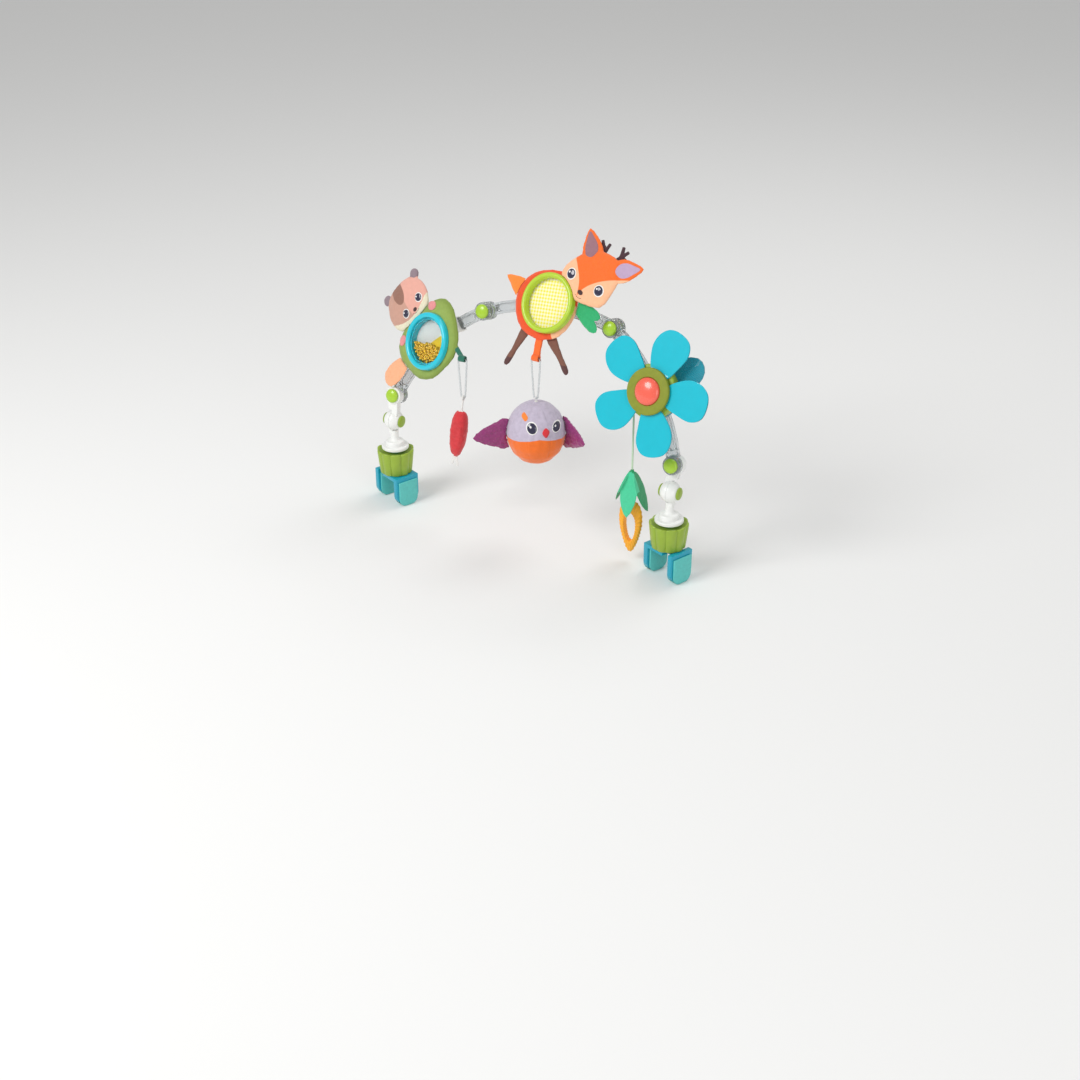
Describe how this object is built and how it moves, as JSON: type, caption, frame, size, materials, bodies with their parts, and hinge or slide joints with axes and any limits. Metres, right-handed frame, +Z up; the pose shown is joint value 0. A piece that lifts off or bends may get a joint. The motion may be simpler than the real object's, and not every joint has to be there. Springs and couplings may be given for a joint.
{
  "type": "stroller toy arch",
  "caption": "Clamp-on toy arch for a stroller or carrycot: hinged clear links carry stuffed animals, a bead rattle and a flower-shaped music unit with hanging toys.",
  "frame": {"origin": "middle of the flat seat inside the right clamp, which rests on top of the rail", "axes": "+X along the arch from the left clamp to the right clamp, -Y towards the side that the toys face, +Z up"},
  "size_m": [0.427, 0.1018, 0.3468],
  "materials": {
    "cyan_plastic": "satin moulded",
    "mint_rubber": "matte soft grip",
    "olive_plastic": "satin moulded",
    "white_plastic": "satin moulded",
    "lime_plastic": "satin moulded",
    "clear_plastic": "clear moulded",
    "green_plush": "short-pile velour",
    "pink_plush": "short-pile velour",
    "peach_felt": "felt",
    "turquoise_plastic": "gloss moulded",
    "yellow_plastic": "gloss",
    "lens_plastic": "clear gloss",
    "bead_plastic": "gloss",
    "coral_plush": "short-pile velour",
    "brown_felt": "felt",
    "orange_felt": "felt",
    "green_felt": "felt",
    "gingham_cotton": "printed cotton",
    "petal_plastic": "gloss moulded",
    "coral_plastic": "gloss moulded",
    "steel": "brushed",
    "black_plastic": "matte",
    "board_plastic": "satin",
    "red_plush": "felt",
    "lilac_plush": "short-pile velour",
    "magenta_felt": "felt",
    "cord_cotton": "braided cord",
    "leaf_felt": "felt",
    "orange_rubber": "satin teether rubber"
  },
  "bodies": {
    "right_clamp": {"right_clamp_body": "cyan_plastic", "right_fixed_pad": "mint_rubber"},
    "right_jaw": {"right_clamp_jaw": "cyan_plastic", "right_moving_pad": "mint_rubber"},
    "right_collar": {"right_screw_collar": "olive_plastic"},
    "right_swivel": {"right_swivel_dome": "white_plastic"},
    "right_tilt": {"right_tilt_knuckle": "white_plastic", "right_tilt_rivet": "olive_plastic"},
    "right_arm": {"right_link": "clear_plastic", "right_hub_rivet": "lime_plastic", "case_front": "turquoise_plastic", "case_rear": "turquoise_plastic", "flower_bezel": "olive_plastic", "speaker": "black_plastic", "cell_1": "steel", "cell_2": "steel", "circuit_board": "board_plastic"},
    "petal_wheel": {"flower_petals": "petal_plastic"},
    "button": {"music_button": "coral_plastic"},
    "battery_hatch": {"battery_door": "turquoise_plastic", "door_screw": "steel"},
    "carrot_toy": {"carrot_string": "cord_cotton", "carrot_leaves": "leaf_felt", "carrot_ring": "orange_rubber"},
    "middle_arm": {"middle_link": "clear_plastic", "right_mid_rivet": "lime_plastic", "deer_body": "coral_plush", "deer_head": "coral_plush", "deer_antlers": "brown_felt", "deer_tail": "orange_felt", "deer_scarf": "green_felt", "window_ring": "lime_plastic", "window_fabric": "gingham_cotton"},
    "deer_leg_left": {"deer_left_leg": "brown_felt"},
    "deer_leg_right": {"deer_right_leg": "brown_felt"},
    "owl_strap": {"owl_clip": "clear_plastic"},
    "owl_toy": {"owl_body": "lilac_plush", "owl_left_wing": "magenta_felt", "owl_right_wing": "magenta_felt"},
    "left_arm": {"left_link": "clear_plastic", "left_mid_rivet": "lime_plastic", "bear_body": "green_plush", "bear_head": "pink_plush", "bear_flap": "peach_felt", "rattle_ring": "turquoise_plastic", "rattle_back": "yellow_plastic", "rattle_lens": "lens_plastic"},
    "bead_track": {"rattle_beads": "bead_plastic"},
    "radish_strap": {"radish_clip": "clear_plastic"},
    "radish_toy": {"radish_body": "red_plush"},
    "left_tilt": {"left_tilt_knuckle": "white_plastic", "left_tilt_rivet": "olive_plastic", "left_hub_rivet": "lime_plastic"},
    "left_swivel": {"left_swivel_dome": "white_plastic"},
    "left_clamp": {"left_clamp_body": "cyan_plastic", "left_fixed_pad": "mint_rubber"},
    "left_collar": {"left_screw_collar": "olive_plastic"},
    "left_jaw": {"left_clamp_jaw": "cyan_plastic", "left_moving_pad": "mint_rubber"}
  },
  "joints": [
    {"name": "right_screw", "type": "hinge", "parent": "right_clamp", "child": "right_collar", "pos_m": [0, 0, 0], "axis": [0, 0, -1], "range_deg": [0, 270]},
    {"name": "right_grip", "type": "slide", "parent": "right_clamp", "child": "right_jaw", "axis": [-0.9397, 0.342, 0], "range_m": [0, 0.006]},
    {"name": "right_turn", "type": "hinge", "parent": "right_clamp", "child": "right_swivel", "pos_m": [0, 0, 0.035], "axis": [0, 0, 1], "range_deg": [-90, 90]},
    {"name": "right_lean", "type": "hinge", "parent": "right_swivel", "child": "right_tilt", "pos_m": [0, 0, 0.069], "axis": [1, 0, 0], "range_deg": [-40, 40]},
    {"name": "right_hub", "type": "hinge", "parent": "right_tilt", "child": "right_arm", "pos_m": [0, 0.00702, 0.09714], "axis": [0, -0.9703, 0.2419], "range_deg": [-35, 8]},
    {"name": "petal_spin", "type": "hinge", "parent": "right_arm", "child": "petal_wheel", "pos_m": [-0.0262, 0.02406, 0.16753], "axis": [-0.0715, -0.9392, 0.3359], "continuous": true},
    {"name": "button_press", "type": "slide", "parent": "right_arm", "child": "button", "axis": [0.0715, 0.9392, -0.3359], "range_m": [0, 0.002], "stiffness_N_per_m": 300},
    {"name": "hatch_slide", "type": "slide", "parent": "right_arm", "child": "battery_hatch", "axis": [0.0715, 0.9392, -0.3359], "range_m": [0, 0.01]},
    {"name": "carrot_swing", "type": "hinge", "parent": "right_arm", "child": "carrot_toy", "pos_m": [-0.04928, 0.00752, 0.14602], "axis": [1, 0, 0], "range_deg": [-25, 25]},
    {"name": "middle_hub", "type": "hinge", "parent": "right_arm", "child": "middle_arm", "pos_m": [-0.09149, 0.03758, 0.21974], "axis": [0, -0.9703, 0.2419], "range_deg": [-25, 25]},
    {"name": "left_leg_swing", "type": "hinge", "parent": "middle_arm", "child": "deer_leg_left", "pos_m": [-0.18587, 0.02039, 0.20798], "axis": [0.92, -0.2571, -0.2959], "range_deg": [0, 25], "stiffness_Nm_per_rad": 0.02},
    {"name": "right_leg_swing", "type": "hinge", "parent": "middle_arm", "child": "deer_leg_right", "pos_m": [-0.15499, 0.01537, 0.20541], "axis": [0.7418, 0.2208, 0.6332], "range_deg": [0, 25], "stiffness_Nm_per_rad": 0.02},
    {"name": "owl_strap_swing", "type": "hinge", "parent": "middle_arm", "child": "owl_strap", "pos_m": [-0.16372, 0.00042, 0.18387], "axis": [1, 0, 0], "range_deg": [-25, 25]},
    {"name": "owl_swing", "type": "hinge", "parent": "owl_strap", "child": "owl_toy", "pos_m": [-0.16372, 0.00042, 0.13787], "axis": [1, 0, 0], "range_deg": [-25, 25]},
    {"name": "left_mid_hub", "type": "hinge", "parent": "middle_arm", "child": "left_arm", "pos_m": [-0.24711, 0.03495, 0.20918], "axis": [0, -0.9703, 0.2419], "range_deg": [-30, 14]},
    {"name": "bead_roll", "type": "hinge", "parent": "left_arm", "child": "bead_track", "pos_m": [-0.29986, 0.02184, 0.16556], "axis": [-0.2486, -0.9022, 0.3524], "continuous": true},
    {"name": "radish_strap_swing", "type": "hinge", "parent": "left_arm", "child": "radish_strap", "pos_m": [-0.25164, -0.00734, 0.16745], "axis": [1, 0, 0], "range_deg": [-25, 25]},
    {"name": "radish_swing", "type": "hinge", "parent": "radish_strap", "child": "radish_toy", "pos_m": [-0.25164, -0.00734, 0.12145], "axis": [1, 0, 0], "range_deg": [-25, 25]},
    {"name": "left_hub", "type": "hinge", "parent": "left_arm", "child": "left_tilt", "pos_m": [-0.352, 0.00702, 0.09714], "axis": [0, -0.9703, 0.2419], "range_deg": [-30, 30]},
    {"name": "left_lean", "type": "hinge", "parent": "left_tilt", "child": "left_swivel", "pos_m": [-0.352, 0, 0.069], "axis": [1, 0, 0], "range_deg": [-40, 40]},
    {"name": "left_turn", "type": "hinge", "parent": "left_swivel", "child": "left_clamp", "pos_m": [-0.352, 0, 0.035], "axis": [0, 0, 1], "range_deg": [-90, 90]},
    {"name": "left_screw", "type": "hinge", "parent": "left_clamp", "child": "left_collar", "pos_m": [-0.352, 0, 0], "axis": [0, 0, -1], "range_deg": [0, 270]},
    {"name": "left_grip", "type": "slide", "parent": "left_clamp", "child": "left_jaw", "axis": [0.9397, -0.342, 0], "range_m": [0, 0.006]}
  ],
  "couplings": [
    {"joint": "right_grip", "follows": "right_screw", "m_per_rad": 0.00127},
    {"joint": "left_grip", "follows": "left_screw", "m_per_rad": 0.00127}
  ]
}
